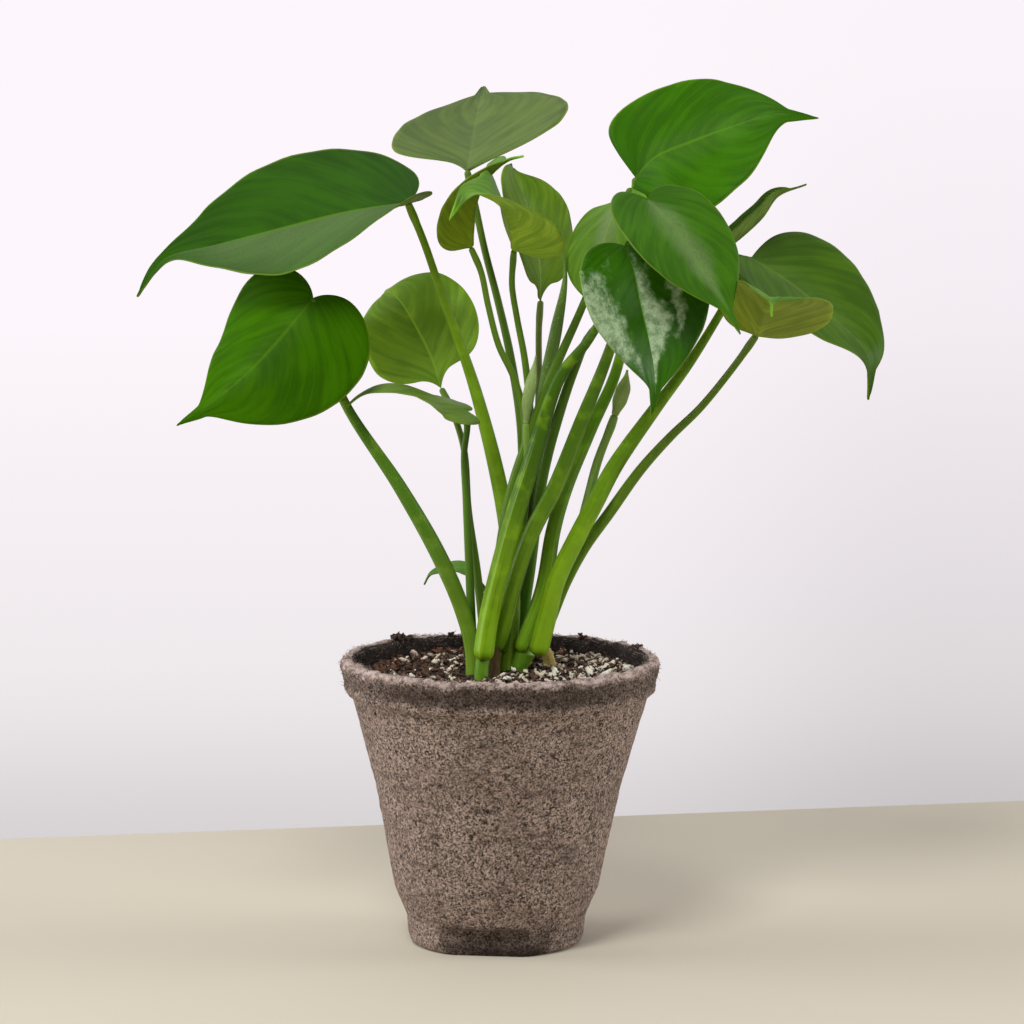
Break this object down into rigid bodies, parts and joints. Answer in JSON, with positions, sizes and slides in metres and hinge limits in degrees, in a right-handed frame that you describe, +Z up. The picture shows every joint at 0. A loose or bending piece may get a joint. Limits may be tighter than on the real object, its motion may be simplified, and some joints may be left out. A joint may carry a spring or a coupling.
{
  "type": "potted swiss cheese plant",
  "caption": "Young swiss cheese plant with heart-shaped drip-tipped leaves on long curving stalks, standing in a round tapered pot of pressed plant fibre.",
  "frame": {"origin": "centre of the pot's underside, on the surface it stands on", "axes": "+Z up, -Y towards the viewer of the picture, +X to the viewer's right"},
  "size_m": [0.2556, 0.1594, 0.2973],
  "materials": {
    "leaf": "satin",
    "young_leaf": "satin",
    "stalk": "satin",
    "crown": "matte",
    "potting_mix": "matte",
    "pot": "matte"
  },
  "bodies": {
    "root": {"leaf_01_far_left": "leaf", "leaf_02_low_left": "leaf", "leaf_03_back_left": "leaf", "leaf_04_arched": "leaf", "leaf_05_top": "leaf", "leaf_06_cupped": "leaf", "leaf_07_nodding": "leaf", "leaf_08_upright": "leaf", "leaf_09_behind": "leaf", "leaf_10_glossy": "leaf", "leaf_11_front": "leaf", "leaf_12_top_right": "leaf", "leaf_13_furled": "leaf", "leaf_14_far_right": "leaf", "leaf_15_curled": "leaf", "leaf_16_small": "leaf", "leaf_17_spear": "young_leaf", "leaf_18_rolled": "young_leaf", "leaf_19_rolled": "young_leaf", "crown_front": "crown", "crown_middle": "crown", "crown_right": "crown", "crown_back": "crown", "stalk_01": "stalk", "stalk_02": "stalk", "stalk_03": "stalk", "stalk_04": "stalk", "stalk_05": "stalk", "stalk_06": "stalk", "stalk_07": "stalk", "stalk_08": "stalk", "stalk_09": "stalk", "stalk_10": "stalk", "stalk_11": "stalk", "stalk_12": "stalk", "stalk_13": "stalk", "stalk_14": "stalk", "stalk_15": "stalk", "stalk_16": "stalk", "stalk_18": "stalk", "stalk_19": "stalk", "potting_mix": "potting_mix", "pot": "pot"}
  },
  "joints": []
}
